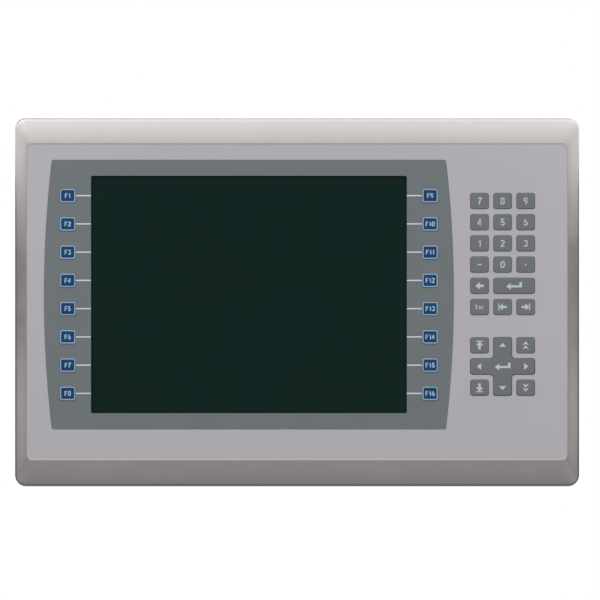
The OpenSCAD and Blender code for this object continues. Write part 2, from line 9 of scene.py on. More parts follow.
import bmesh
import bpy
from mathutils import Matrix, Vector


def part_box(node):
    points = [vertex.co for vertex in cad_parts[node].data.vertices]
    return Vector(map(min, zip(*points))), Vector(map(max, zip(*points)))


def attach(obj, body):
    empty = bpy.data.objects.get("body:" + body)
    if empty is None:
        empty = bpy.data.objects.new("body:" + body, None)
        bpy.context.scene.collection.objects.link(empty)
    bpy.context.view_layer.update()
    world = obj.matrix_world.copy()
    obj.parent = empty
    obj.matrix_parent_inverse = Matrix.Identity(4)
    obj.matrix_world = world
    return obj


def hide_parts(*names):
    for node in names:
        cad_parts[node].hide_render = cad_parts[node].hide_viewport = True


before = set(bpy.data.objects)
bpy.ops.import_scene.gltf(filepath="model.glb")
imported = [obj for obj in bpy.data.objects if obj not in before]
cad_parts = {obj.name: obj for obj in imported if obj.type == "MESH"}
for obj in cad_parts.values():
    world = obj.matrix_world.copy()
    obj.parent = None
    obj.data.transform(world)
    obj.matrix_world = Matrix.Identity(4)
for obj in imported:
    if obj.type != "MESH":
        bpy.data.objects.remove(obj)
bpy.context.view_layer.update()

MM = 0.001
CHASSIS = "chassis"
SMALL = 0.02 * MM
WINDOW_W = 213 * MM  # visible width of the display
LINE_HALF = 0.4 * MM  # half the height of a printed leader line
LABEL_W, LABEL_H, LABEL_CORNER = 72 * MM, 38 * MM, 2 * MM
LABEL_DROP = 38 * MM  # how far the label's centre lies below the module's
BORDER_W, BORDER_H = 67, 33  # the label's printed border, in millimetres
POWER_LIMIT_X = -60 * MM  # the power header is the only connector to the left of this
USB_X = (15 * MM, 33 * MM)
TONGUE_HALF_W = 5.6 * MM
TONGUE_Y = (46.05 * MM, 47.95 * MM)
TONGUE_RISE = (0.3 * MM, 9.9 * MM)  # above the module's foot

# ---------------------------------------------------------------- frame measures

bezel_low, bezel_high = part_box("front_bezel")
face_low, face_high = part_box("faceplate")
surround_low, surround_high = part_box("display_surround")
gasket_low, gasket_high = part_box("panel_gasket")
housing_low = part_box("rear_housing")[0]
module_low, module_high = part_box("logic_housing")

KEY_FLANGE = 0.7 * MM  # the hidden flange that widens each key's CAD box
KEY_CORNER = 1.8 * MM
FUNCTION_RIM = 0.95 * MM
FUNCTION_SINK = 0.06 * MM  # how far a function key's centre lies behind its rim
FUNCTION_DEPTH = 2.1 * MM
FUNCTION_KEYS = ["function_key_%02d" % i for i in range(1, 17)]
NUMBER_KEYS = ["key_%d" % i for i in range(10)] + ["key_minus", "key_point", "key_backspace", "key_enter",
                                                  "key_escape", "key_tab_back", "key_tab_forward"]
CORNER_KEYS = ["key_home", "key_page_up", "key_end", "key_page_down"]


def key_frame(node):
    """Centre x and z, width, height and front y of a key's cap."""
    low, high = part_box(node)
    centre = (low + high) / 2
    return centre.x, centre.z, high.x - low.x - 2 * KEY_FLANGE, high.z - low.z - 2 * KEY_FLANGE, low.y


# ---------------------------------------------------------------- mesh helpers


def new_object(name, bm, smooth_deg=35):
    """A mesh object from a bmesh, smooth where its faces meet at less than smooth_deg."""
    bmesh.ops.remove_doubles(bm, verts=bm.verts, dist=1e-7)
    bmesh.ops.recalc_face_normals(bm, faces=bm.faces)
    mesh = bpy.data.meshes.new(name)
    bm.to_mesh(mesh)
    bm.free()
    mesh.shade_smooth()
    mesh.set_sharp_from_angle(angle=math.radians(smooth_deg))
    obj = bpy.data.objects.new(name, mesh)
    bpy.context.scene.collection.objects.link(obj)
    return obj


def finish_piece(obj, body, material, replaces=()):
    """Gives a piece its material, its body and the CAD nodes it stands for."""
    obj.data.materials.clear()
    obj.data.materials.append(material)
    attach(obj, body)
    if replaces:
        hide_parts(*replaces)
    return obj


def arc(x, z, radius, start_deg, end_deg, steps):
    """Points on an arc in the front view, both ends included."""
    turn = [math.radians(start_deg + (end_deg - start_deg) * i / steps) for i in range(steps + 1)]
    return [(x + radius * math.cos(a), z + radius * math.sin(a)) for a in turn]


def rounded_outline(width, height, corner, steps=8):
    """A rectangle with round corners, as points anticlockwise in the front view, round (0, 0)."""
    corner = max(corner, SMALL)
    x, z = width / 2 - corner, height / 2 - corner
    points = []
    for sx, sz, start in ((1, 1, 0), (-1, 1, 90), (-1, -1, 180), (1, -1, 270)):
        points += arc(sx * x, sz * z, corner, start, start + 90, steps)
    return points


def cross_outline(width, height, arm_w, arm_h, corner, fillet, inset, steps=6):
    """The cursor pad's cross, with round tips and concave fillets, drawn in by inset."""
    tip, bend = max(corner - inset, SMALL), fillet + inset
    half_w, half_h = width / 2 - inset, height / 2 - inset
    arm_x, arm_z = arm_w / 2 - inset, arm_h / 2 - inset
    quarter = arc(half_w - tip, arm_z - tip, tip, 0, 90, steps)
    quarter += arc(arm_x + bend, arm_z + bend, bend, 270, 180, steps)
    quarter += arc(arm_x - tip, half_h - tip, tip, 0, 90, steps)
    points = list(quarter)
    points += [(-x, z) for x, z in reversed(quarter)]
    points += [(-x, -z) for x, z in quarter]
    points += [(x, -z) for x, z in reversed(quarter)]
    return points


def loft(bm, rings, closed=False):
    """Skins rings of equal length. Its ends are capped unless the rings close on themselves."""
    rows = [[bm.verts.new(p) for p in ring] for ring in rings]
    count = len(rows[0])
    pairs = list(zip(rows, rows[1:]))
    if closed:
        pairs.append((rows[-1], rows[0]))
    for a, b in pairs:
        for i in range(count):
            j = (i + 1) % count
            bm.faces.new((a[i], a[j], b[j], b[i]))
    if not closed:
        bm.faces.new(rows[0])
        bm.faces.new(list(reversed(rows[-1])))


def front_ring(outline, y, x=0.0, z=0.0):
    """An outline of the front view, set at a depth and moved to a place."""
    return [(x + px, y, z + pz) for px, pz in outline]


def slab(bm, outline, front_y, back_y, x=0.0, z=0.0):
    """A flat plate from an outline of the front view."""
    loft(bm, [front_ring(outline, front_y, x, z), front_ring(outline, back_y, x, z)])


def cap_rings(outline_at, x, z, front_y, back_y, edge, drop, steps=5):
    """Rings of a cap whose front edge is rounded over edge across and drop deep."""
    rings = [front_ring(outline_at(0), back_y, x, z)]
    for i in range(steps + 1):
        a = math.pi / 2 * i / steps
        rings.append(front_ring(outline_at(edge * (1 - math.cos(a))),
                                front_y + drop * (1 - math.sin(a)), x, z))
    return rings


def box_mesh(bm, low, high):
    """A box between two corners."""
    x0, y0, z0 = low
    x1, y1, z1 = high
    loft(bm, [[(x0, y, z0), (x1, y, z0), (x1, y, z1), (x0, y, z1)] for y in (y0, y1)])


def soften(obj, width, segments=2, angle_deg=40):
    """Rounds the sharp edges of a CAD node or a piece."""
    bevel = obj.modifiers.new("soft_edges", "BEVEL")
    bevel.width = width
    bevel.segments = segments
    bevel.limit_method = "ANGLE"
    bevel.angle_limit = math.radians(angle_deg)
    bevel.harden_normals = True
    return obj


# ---------------------------------------------------------------- materials


def rgb(r, g, b):
    """A linear colour from 0 to 255 display values."""
    def linear(v):
        v /= 255
        return v / 12.92 if v <= 0.04045 else ((v + 0.055) / 1.055) ** 2.4
    return (linear(r), linear(g), linear(b), 1.0)


def scaled(colour, factor):
    return tuple(min(c * factor, 1.0) for c in colour[:3]) + (1.0,)


def add_node(tree, kind, **inputs):
    """A shader node with plain values on its inputs."""
    node = tree.nodes.new(kind)
    for name, value in inputs.items():
        node.inputs[name.replace("_", " ")].default_value = value
    return node


def noise(tree, coords, scale, detail=3.0, rough=0.5, stretch=None):
    """A noise texture in object space, with its own stretch if one is given."""
    node = add_node(tree, "ShaderNodeTexNoise", Scale=scale, Detail=detail, Roughness=rough)
    if stretch:
        mapping = add_node(tree, "ShaderNodeMapping", Scale=stretch)
        tree.links.new(coords, mapping.inputs["Vector"])
        coords = mapping.outputs["Vector"]
    tree.links.new(coords, node.inputs["Vector"])
    return node.outputs["Fac"]


def ramp(tree, factor, stops):
    """A colour ramp from (position, colour) stops."""
    node = tree.nodes.new("ShaderNodeValToRGB")
    bands = node.color_ramp.elements
    while len(bands) < len(stops):
        bands.new(0.5)
    for band, (position, colour) in zip(bands, stops):
        band.position, band.color = position, colour
    tree.links.new(factor, node.inputs["Fac"])
    return node.outputs["Color"]


def spread(tree, factor, low, high):
    """Maps a noise's usual 0.3 to 0.7 on to low to high."""
    node = add_node(tree, "ShaderNodeMapRange", From_Min=0.3, From_Max=0.7, To_Min=low, To_Max=high)
    tree.links.new(factor, node.inputs["Value"])
    return node.outputs["Result"]


def start_material(name, metallic=0.0, specular=0.5, coat=0.0):
    material = bpy.data.materials.new(name)
    material.use_nodes = True
    tree = material.node_tree
    shader = tree.nodes["Principled BSDF"]
    shader.inputs["Metallic"].default_value = metallic
    shader.inputs["Specular IOR Level"].default_value = specular
    shader.inputs["Coat Weight"].default_value = coat
    coords = tree.nodes.new("ShaderNodeTexCoord").outputs["Object"]
    return material, tree, shader, coords


def bump(tree, shader, height, distance, strength=1.0):
    node = add_node(tree, "ShaderNodeBump", Strength=strength, Distance=distance)
    tree.links.new(height, node.inputs["Height"])
    tree.links.new(node.outputs["Normal"], shader.inputs["Normal"])
    return node


def moulded(name, colour, roughness, specular=0.4, grain_mm=0.5, depth_mm=0.02, tint=0.04,
            metallic=0.0, coat=0.0):
    """Moulded or painted surface: fine grain, slow colour drift, and roughness that varies with handling."""
    material, tree, shader, coords = start_material(name, metallic, specular, coat)
    drift = noise(tree, coords, 35.0, 4.0)
    colours = ramp(tree, drift, [(0.3, scaled(colour, 1 - tint)), (0.7, scaled(colour, 1 + tint))])
    tree.links.new(colours, shader.inputs["Base Color"])
    handled = noise(tree, coords, 90.0, 5.0, 0.6)
    tree.links.new(spread(tree, handled, roughness - 0.06, roughness + 0.06), shader.inputs["Roughness"])
    grain = noise(tree, coords, 1.0 / (grain_mm * MM), 2.0)
    bump(tree, shader, grain, depth_mm * MM, 0.6)
    return material


def metallic_paint():
    """Warm grey metallic paint with fine flake and a slight orange peel."""
    material, tree, shader, coords = start_material("metallic_paint", metallic=1.0, specular=0.5)
    flake = noise(tree, coords, 5200.0, 2.0, 0.7)
    colours = ramp(tree, flake, [(0.3, BEZEL_DARK), (0.5, BEZEL_MID), (0.72, BEZEL_LIGHT)])
    tree.links.new(colours, shader.inputs["Base Color"])
    handled = noise(tree, coords, 60.0, 5.0, 0.6)
    tree.links.new(spread(tree, handled, 0.29, 0.37), shader.inputs["Roughness"])
    peel = noise(tree, coords, 700.0, 2.0)
    bump(tree, shader, peel, 0.012 * MM, 0.35)
    return material


def antiglare_glass():
    """Dark green-black touch surface with a fine etched texture."""
    material, tree, shader, coords = start_material("antiglare_glass", specular=0.1)
    drift = noise(tree, coords, 12.0, 2.0)
    tree.links.new(ramp(tree, drift, [(0.3, scaled(SCREEN, 0.95)), (0.7, scaled(SCREEN, 1.05))]),
                   shader.inputs["Base Color"])
    etched = noise(tree, coords, 2500.0, 2.0)
    tree.links.new(spread(tree, etched, 0.30, 0.40), shader.inputs["Roughness"])
    bump(tree, shader, etched, 0.004 * MM, 0.3)
    return material


def plated_sheet(name, colour, roughness, spangle_mm=7.0):
    """Zinc-plated sheet: faint spangle, rolling marks along X, and fingerprints in the roughness."""
    material, tree, shader, coords = start_material(name, metallic=0.9, specular=0.5)
    cells = add_node(tree, "ShaderNodeTexVoronoi", Scale=1.0 / (spangle_mm * MM))
    tree.links.new(coords, cells.inputs["Vector"])
    marks = noise(tree, coords, 260.0, 4.0, 0.6, stretch=(0.12, 1.0, 1.0))
    colours = ramp(tree, marks, [(0.25, scaled(colour, 0.90)), (0.75, scaled(colour, 1.08))])
    crystal = ramp(tree, cells.outputs["Color"], [(0.0, scaled(colour, 0.86)), (1.0, scaled(colour, 1.1))])
    mix = tree.nodes.new("ShaderNodeMix")
    mix.data_type = "RGBA"
    tree.links.new(marks, mix.inputs["Factor"])
    tree.links.new(colours, mix.inputs[6])
    tree.links.new(crystal, mix.inputs[7])
    tree.links.new(mix.outputs[2], shader.inputs["Base Color"])
    prints = noise(tree, coords, 45.0, 6.0, 0.65)
    tree.links.new(spread(tree, prints, roughness - 0.05, roughness + 0.06), shader.inputs["Roughness"])
    bump(tree, shader, marks, 0.01 * MM, 0.5)
    return material


def circuit_board():
    """Green solder mask with darker bare patches and lighter copper runs under it."""
    material, tree, shader, coords = start_material("circuit_board", specular=0.5)
    runs = add_node(tree, "ShaderNodeTexBrick", Scale=90.0, Mortar_Size=0.012)
    runs.inputs["Color1"].default_value = rgb(24, 82, 48)
    runs.inputs["Color2"].default_value = rgb(20, 72, 42)
    runs.inputs["Mortar"].default_value = rgb(52, 120, 72)
    swap = tree.nodes.new("ShaderNodeMapping")
    swap.inputs["Rotation"].default_value = (math.pi / 2, 0, 0)
    tree.links.new(coords, swap.inputs["Vector"])
    tree.links.new(swap.outputs["Vector"], runs.inputs["Vector"])
    tree.links.new(runs.outputs["Color"], shader.inputs["Base Color"])
    grain = noise(tree, coords, 800.0, 2.0)
    tree.links.new(spread(tree, grain, 0.30, 0.45), shader.inputs["Roughness"])
    bump(tree, shader, runs.outputs["Fac"], 0.02 * MM, 0.4)
    return material


BEZEL_MID = rgb(175, 171, 170)
BEZEL_DARK = scaled(BEZEL_MID, 0.92)
BEZEL_LIGHT = scaled(BEZEL_MID, 1.08)
SCREEN = rgb(9, 33, 29)

paint = metallic_paint()
glass = antiglare_glass()
land_paint = moulded("land_paint", rgb(174, 170, 171), 0.5, 0.3, 0.5, 0.01, 0.02)
face_plastic = moulded("face_overlay", rgb(172, 170, 175), 0.55, 0.2, 0.35, 0.006, 0.012)
surround_plastic = moulded("surround_overlay", rgb(106, 112, 115), 0.5, 0.2, 0.35, 0.006, 0.015)
key_plastic = moulded("key_grey", rgb(105, 110, 114), 0.5, 0.2, 0.4, 0.008, 0.02)
blue_plastic = moulded("key_blue", rgb(24, 58, 92), 0.42, 0.2, 0.4, 0.006, 0.03)
rim_plastic = moulded("key_rim", rgb(134, 161, 190), 0.45, 0.2, 0.4, 0.006, 0.02)
blue_print = moulded("print_blue", rgb(152, 193, 226), 0.5, 0.2, 0.3, 0.004, 0.02)
grey_print = moulded("print_grey", rgb(184, 191, 194), 0.5, 0.2, 0.3, 0.004, 0.02)
line_print = moulded("print_line", rgb(205, 208, 208), 0.5, 0.2, 0.3, 0.004, 0.02)
gasket_rubber = moulded("gasket_foam", rgb(34, 34, 35), 0.85, 0.2, 0.8, 0.09, 0.12)
silicone = moulded("silicone", rgb(78, 79, 83), 0.6, 0.3, 0.6, 0.02, 0.05)
module_plastic = moulded("module_plastic", rgb(50, 51, 54), 0.55, 0.4, 0.9, 0.06, 0.07)
black_plastic = moulded("black_plastic", rgb(32, 32, 34), 0.45, 0.45, 0.7, 0.03, 0.08)
lever_plastic = moulded("lever_plastic", rgb(44, 45, 48), 0.48, 0.45, 0.8, 0.05, 0.08)
plug_green = moulded("plug_green", rgb(52, 112, 70), 0.42, 0.45, 0.7, 0.02, 0.06)
housing_sheet = plated_sheet("housing_sheet", rgb(196, 198, 200), 0.38)
tin = plated_sheet("connector_tin", rgb(190, 190, 188), 0.30, 1.5)
zinc = plated_sheet("screw_zinc", rgb(196, 196, 198), 0.28, 1.0)
board_green = circuit_board()
label_film = moulded("label_film", rgb(196, 198, 198), 0.42, 0.4, 0.4, 0.006, 0.03)

CAD_LOOKS = {
    "faceplate": face_plastic, "display_surround": surround_plastic, "touch_screen": glass,
    "lcd_panel": plated_sheet("lcd_sheet", rgb(180, 182, 184), 0.4),
    "key_mats": silicone, "key_boards": board_green,
    "panel_gasket": gasket_rubber, "rear_housing": housing_sheet, "logic_housing": module_plastic,
    "main_board": board_green, "io_connectors": tin, "screws": zinc, "card_door": module_plastic,
    "power_plug": plug_green, "reset_button": black_plastic, "cursor_gimbal": zinc,
    "cursor_post": black_plastic,
}
CAD_EDGES = {
    "faceplate": 0.04, "display_surround": 0.06, "panel_gasket": 0.3, "rear_housing": 0.35,
    "logic_housing": 0.6,
    "io_connectors": 0.12, "screws": 0.15, "card_door": 0.3, "power_plug": 0.25, "reset_button": 0.3,
}


def dress_cad_nodes():
    """Materials and soft edges on the CAD nodes that are shown as they are."""
    looks = dict(CAD_LOOKS)
    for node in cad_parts:
        if node.startswith("lever_"):
            looks[node] = lever_plastic
    for node, material in looks.items():
        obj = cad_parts[node]
        obj.data.materials.clear()
        obj.data.materials.append(material)
        if node in CAD_EDGES:
            soften(obj, CAD_EDGES[node] * MM)
        elif node.startswith("lever_"):
            soften(obj, 0.5 * MM, 3)


def dress_connectors():
    """A green power header and black USB tongues among the tinned connector shells."""
    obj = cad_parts["io_connectors"]
    obj.data.materials.append(plug_green)
    obj.data.materials.append(black_plastic)
    foot = module_low.z
    for face in obj.data.polygons:
        centre = obj.matrix_world @ face.center
        if centre.x < POWER_LIMIT_X:
            face.material_index = 1
        for x in USB_X:
            in_y = TONGUE_Y[0] < centre.y < TONGUE_Y[1]
            in_z = foot + TONGUE_RISE[0] < centre.z < foot + TONGUE_RISE[1]
            if abs(centre.x - x) < TONGUE_HALF_W and in_y and in_z:
                face.material_index = 2


def make_label():
    """A blank rating label with a printed border, stuck on the logic module's back."""
    back_y = module_high.y
    z = (module_low.z + module_high.z) / 2 - LABEL_DROP
    bm = bmesh.new()
    slab(bm, rounded_outline(LABEL_W, LABEL_H, LABEL_CORNER), back_y - 0.05 * MM, back_y + 0.12 * MM, 0, z)
    finish_piece(new_object("rating_label", bm), CHASSIS, label_film)
    bm = bmesh.new()
    rings = [front_ring(rounded_outline((BORDER_W - d) * MM, (BORDER_H - d) * MM, 1 * MM),
                        back_y + y * MM, 0, z)
             for d, y in ((0, 0.1), (0, 0.14), (0.9, 0.14), (0.9, 0.1))]
    loft(bm, rings, closed=True)
    finish_piece(new_object("label_border", bm), CHASSIS, black_plastic)


# ---------------------------------------------------------------- bezel


def bezel_ring(width, height, corner, y, rise=0.0):
    return front_ring(rounded_outline(width, height, corner, 16), y, 0, rise)


def make_bezel():
    """The bezel as one smooth skin: land round the face, crest, slope, round edge, back and gasket groove."""
    recess_w, recess_h, recess_r = 2 * face_high.x, 2 * face_high.z, 4 * MM
    width, height, bezel_r = 2 * bezel_high.x, 2 * bezel_high.z, 7.5 * MM
    crest_y, deck_y, back_y = bezel_low.y + 0.40 * MM, face_high.y, housing_low.y
    land_y, land_w, rise, crest_r = face_low.y - 0.06 * MM, 1.0 * MM, 0.25 * MM, 0.06 * MM
    rings = []
    # the wall round the face and the crest
    inner = [(0.0, deck_y), (0.0, land_y)]
    for i in range(5):
        a = math.radians(22.5 * i)
        inner.append((crest_r * (1 - math.cos(a)), crest_y + crest_r * (1 - math.sin(a))))
    for out, y in inner:
        rings.append(bezel_ring(recess_w + 2 * out, recess_h + 2 * out, recess_r + out, y, rise))
    # the slope, wider above and below than at the sides
    lip, slope_end_y, crown, steps = 1.15 * MM, back_y - 4.5 * MM, 0.22, 16
    start_w, start_h, start_r = recess_w + 2 * crest_r, recess_h + 2 * crest_r, recess_r + crest_r
    for t in [0.004, 0.02] + [i / steps for i in range(1, steps + 1)]:
        w = start_w + (width - 2 * lip - start_w) * t
        h = start_h + (height - 2 * lip - start_h) * t
        y = crest_y + (slope_end_y - crest_y) * ((1 - crown) * t + crown * t * t)
        rings.append(bezel_ring(w, h, start_r + (bezel_r - lip - start_r) * t, y, rise * (1 - t)))
    # the round edge, the upright side and the back corner
    first = math.radians(16)
    for i in range(1, 9):
        a = first + (math.pi / 2 - first) * i / 8
        inset = lip * (1 - math.sin(a)) / (1 - math.sin(first))
        y = slope_end_y + 2.3 * MM * (math.cos(first) - math.cos(a))
        rings.append(bezel_ring(width - 2 * inset, height - 2 * inset, bezel_r - inset, y))
    for inset, ahead in ((0.0, 0.45), (0.12, 0.12), (0.45, 0.0)):
        rings.append(bezel_ring(width - 2 * inset * MM, height - 2 * inset * MM, bezel_r - inset * MM,
                                back_y - ahead * MM))
    # back face, gasket groove, housing seat and the deck's hidden edge
    groove_w, groove_h, groove_y = 2 * gasket_high.x, 2 * gasket_high.z, gasket_low.y
    outer_w, outer_h = groove_w + 0.2 * MM, groove_h + 0.2 * MM
    inner_w, inner_h = groove_w - 16.2 * MM, groove_h - 16.2 * MM
    seat_w, seat_h = 346 * MM, 214 * MM
    deck_w, deck_h, deck_back_y = recess_w - 13 * MM, recess_h - 14 * MM, deck_y + 3 * MM
    hidden = [(outer_w, outer_h, back_y), (outer_w, outer_h, groove_y),
              (inner_w, inner_h, groove_y), (inner_w, inner_h, back_y),
              (seat_w, seat_h, back_y), (seat_w, seat_h, deck_back_y),
              (deck_w, deck_h, deck_back_y), (deck_w, deck_h, deck_y)]
    for w, h, y in hidden:
        rings.append(bezel_ring(w, h, 4 * MM, y))
    bm = bmesh.new()
    loft(bm, rings, closed=True)
    bezel = new_object("bezel_skin", bm, 38)
    finish_piece(bezel, CHASSIS, paint, ["front_bezel"])
    # the thin matte land that covers the face's edge
    rings = []
    for out, y in ((0.01 * MM, face_low.y + 0.02 * MM), (0.01 * MM, land_y), (-land_w + 0.05 * MM, land_y),
                   (-land_w, land_y + 0.03 * MM), (-land_w, face_low.y + 0.02 * MM)):
        rings.append(bezel_ring(recess_w + 2 * out, recess_h + 2 * out, recess_r + out, y, rise))
    bm = bmesh.new()
    loft(bm, rings, closed=True)
    finish_piece(new_object("bezel_land", bm, 38), CHASSIS, land_paint)


# ---------------------------------------------------------------- keys


def make_grey_key(node):
    x, z, width, height, front_y = key_frame(node)
    bm = bmesh.new()
    rings = cap_rings(lambda d: rounded_outline(width - 2 * d, height - 2 * d, KEY_CORNER - d),
                      x, z, front_y, front_y + 2.1 * MM, 0.7 * MM, 0.19 * MM)
    loft(bm, rings)
    flange = rounded_outline(width + 2 * KEY_FLANGE, height + 2 * KEY_FLANGE, KEY_CORNER)
    slab(bm, flange, front_y + 1.95 * MM, front_y + 2.7 * MM, x, z)
    cap = new_object("cap_" + node, bm)
    finish_piece(cap, node + "_body", key_plastic, [node])


def make_function_key(node):
    """A dark blue cap inside a raised light blue rim."""
    x, z, width, height, front_y = key_frame(node)
    bm = bmesh.new()
    rings = cap_rings(lambda d: rounded_outline(width - 2 * FUNCTION_RIM - 2 * d,
                                                height - 2 * FUNCTION_RIM - 2 * d, 0.8 * MM - d / 2),
                      x, z, front_y + FUNCTION_SINK, front_y + FUNCTION_DEPTH, 0.6 * MM, 0.16 * MM)
    loft(bm, rings)
    finish_piece(new_object("centre_" + node, bm), node + "_body", blue_plastic, [node])
    bm = bmesh.new()
    back_y = front_y + FUNCTION_DEPTH
    profile = [(0.0, back_y), (0.0, front_y + 0.3 * MM), (0.1, front_y + 0.08 * MM), (0.3, front_y),
               (0.65, front_y), (0.87, front_y + 0.08 * MM), (0.95, front_y + 0.3 * MM), (0.95, back_y)]
    rings = [front_ring(rounded_outline(width - 2 * d * MM, height - 2 * d * MM,
                                        1.6 * MM - d * 0.8 * MM), y, x, z)
             for d, y in profile]
    loft(bm, rings, closed=True)
    finish_piece(new_object("rim_" + node, bm), node + "_body", rim_plastic)


def make_cursor_pad():
    low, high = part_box("cursor_pad")
    centre = (low + high) / 2
    _, _, arm_w, arm_h, _ = key_frame("key_home")
    bm = bmesh.new()
    rings = cap_rings(lambda d: cross_outline(high.x - low.x, high.z - low.z, arm_w, arm_h,
                                              KEY_CORNER, 2.3 * MM, d),
                      centre.x, centre.z, low.y, low.y + 2.2 * MM, 0.7 * MM, 0.19 * MM)
    loft(bm, rings)
    finish_piece(new_object("cap_cursor_pad", bm), "cursor_pad_body", key_plastic, ["cursor_pad"])


# ---------------------------------------------------------------- legends

PRINT_T = 0.05 * MM


def stroke(bm, path, half, x, z, front_y):
    """A printed line of even width along a path of points in metres, with mitred bends."""
    path = [Vector(p) for p in path]
    left, right = [], []
    for i, point in enumerate(path):
        before = (point - path[i - 1]).normalized() if i else None
        after = (path[i + 1] - point).normalized() if i < len(path) - 1 else None
        along = ((before or after) + (after or before)).normalized()
        across = Vector((-along.y, along.x))
        reach = half / max(along.dot(after or before), 0.5)
        left.append(point + across * reach)
        right.append(point - across * reach)
    for (a, b), (c, d) in zip(zip(left, right), zip(left[1:], right[1:])):
        slab(bm, [tuple(b), tuple(d), tuple(c), tuple(a)],
             front_y - 0.7 * PRINT_T, front_y + 0.3 * PRINT_T, x, z)


def bow(x, z, rx, rz, start_deg, end_deg, steps=10):
    """Points on an oval arc."""
    turn = [math.radians(start_deg + (end_deg - start_deg) * i / steps) for i in range(steps + 1)]
    return [(x + rx * math.cos(a), z + rz * math.sin(a)) for a in turn]


# Plain sans characters, drawn as strokes in a cell one high: width of the cell, then the paths.
CHARACTERS = {
    "0": (0.64, [bow(0.32, 0.5, 0.25, 0.43, 90, 450, 24)]),
    "1": (0.50, [[(0.10, 0.74), (0.22, 0.78), (0.34, 0.92)], [(0.34, 1.0), (0.34, 0.0)]]),
    "2": (0.62, [bow(0.31, 0.70, 0.23, 0.23, 165, -35) + [(0.09, 0.07), (0.57, 0.07)]]),
    "3": (0.62, [bow(0.30, 0.72, 0.21, 0.21, 155, -90), bow(0.30, 0.29, 0.24, 0.22, 90, -155)]),
    "4": (0.64, [[(0.60, 0.28), (0.09, 0.28), (0.40, 0.93)], [(0.44, 1.0), (0.44, 0.0)]]),
    "5": (0.62, [[(0.54, 0.93), (0.16, 0.93), (0.12, 0.50)] + bow(0.30, 0.32, 0.24, 0.25, 125, -150)]),
    "6": (0.64, [bow(0.32, 0.31, 0.23, 0.24, 90, 450, 20), bow(0.46, 0.42, 0.37, 0.51, 105, 190)]),
    "7": (0.60, [[(0.07, 0.93), (0.54, 0.93), (0.40, 0.66), (0.27, 0.34), (0.22, 0.0)]]),
    "8": (0.64, [bow(0.32, 0.73, 0.20, 0.20, 90, 450, 20), bow(0.32, 0.29, 0.24, 0.22, 90, 450, 20)]),
    "9": (0.64, [bow(0.32, 0.69, 0.23, 0.24, 90, 450, 20), bow(0.18, 0.58, 0.37, 0.51, -75, 10)]),
    "F": (0.60, [[(0.12, 0.0), (0.12, 1.0)], [(0.12, 0.93), (0.56, 0.93)], [(0.12, 0.50), (0.50, 0.50)]]),
    "E": (0.64, [[(0.12, 0.0), (0.12, 1.0)], [(0.12, 0.93), (0.58, 0.93)], [(0.12, 0.52), (0.54, 0.52)],
                 [(0.12, 0.07), (0.60, 0.07)]]),
    "s": (0.52, [bow(0.26, 0.53, 0.17, 0.14, 35, 250) + bow(0.26, 0.21, 0.18, 0.15, 75, -150)]),
    "c": (0.54, [bow(0.30, 0.37, 0.21, 0.31, 45, 315, 14)]),
}


def print_text(name, text, x, z, front_y, height, weight, body, material):
    """Printed characters of a given height, centred on a key."""
    gap = 0.13
    total = sum(CHARACTERS[c][0] for c in text) + gap * (len(text) - 1)
    bm = bmesh.new()
    at = -total / 2
    for character in text:
        cell, paths = CHARACTERS[character]
        for path in paths:
            placed = [((at + px) * height, (pz - 0.5) * height) for px, pz in path]
            stroke(bm, placed, weight * height / 2, x, z, front_y)
        at += cell + gap
    finish_piece(new_object(name, bm, 20), body, material)


def triangle(size, along, turn_deg):
    """A solid triangle, size across its base and along to its tip, pointing along +X turned by turn_deg."""
    return turned([(-along / 2, size / 2), (-along / 2, -size / 2), (along / 2, 0)], turn_deg)


def turned(points, turn_deg):
    c, s = math.cos(math.radians(turn_deg)), math.sin(math.radians(turn_deg))
    return [(x * c - z * s, x * s + z * c) for x, z in points]


def moved(points, dx, dz):
    return [(x + dx, z + dz) for x, z in points]


def bar(width, height):
    return [(-width / 2, -height / 2), (width / 2, -height / 2),
            (width / 2, height / 2), (-width / 2, height / 2)]


def arrow(length, head, head_w, stem_w):
    """An arrow that points along +X, centred on its length."""
    tail, neck, tip = -length / 2, length / 2 - head, length / 2
    return [(tail, -stem_w / 2), (neck, -stem_w / 2), (neck, -head_w / 2), (tip, 0),
            (neck, head_w / 2), (neck, stem_w / 2), (tail, stem_w / 2)]


def enter_arrow():
    """A left arrow whose stem turns up at its right end."""
    half, head, low, stem, riser, top = 5.3, 3.0, -0.4, 0.72, 1.75, 2.5
    return [(-half, low), (-half + head, low - 2.3), (-half + head, low - stem), (half, low - stem),
            (half, top), (half - riser, top), (half - riser, low + stem), (-half + head, low + stem),
            (-half + head, low + 2.3)]


def dart(turn_deg):
    """An arrowhead with a notched base that points along +X turned by turn_deg."""
    return turned([(-1.3, 2.25), (-0.45, 0), (-1.3, -2.25), (1.3, 0)], turn_deg)


TAB_ARROW = arrow(5.2, 2.6, 4.7, 1.4)
STOP_ARROW = arrow(5.4, 2.7, 5.0, 1.6)
KEY_GLYPHS = {
    "key_backspace": [turned(arrow(5.7, 3.0, 5.0, 1.6), 180)],
    "key_enter": [enter_arrow()],
    "key_tab_back": [moved(bar(0.7, 4.7), -2.6, 0), moved(turned(TAB_ARROW, 180), 0.2, 0)],
    "key_tab_forward": [moved(bar(0.7, 4.7), 2.6, 0), moved(TAB_ARROW, -0.2, 0)],
    "key_home": [moved(bar(4.7, 0.65), 0, 2.75), moved(turned(STOP_ARROW, 90), 0, -0.15)],
    "key_end": [moved(bar(4.7, 0.65), 0, -2.75), moved(turned(STOP_ARROW, -90), 0, 0.15)],
    "key_page_up": [moved(dart(90), 0, 1.35), moved(dart(90), 0, -1.35)],
    "key_page_down": [moved(dart(-90), 0, 1.35), moved(dart(-90), 0, -1.35)],
}
KEY_TEXTS = {"key_%d" % i: (str(i), 4.6) for i in range(10)}
KEY_TEXTS["key_escape"] = ("Esc", 2.9)
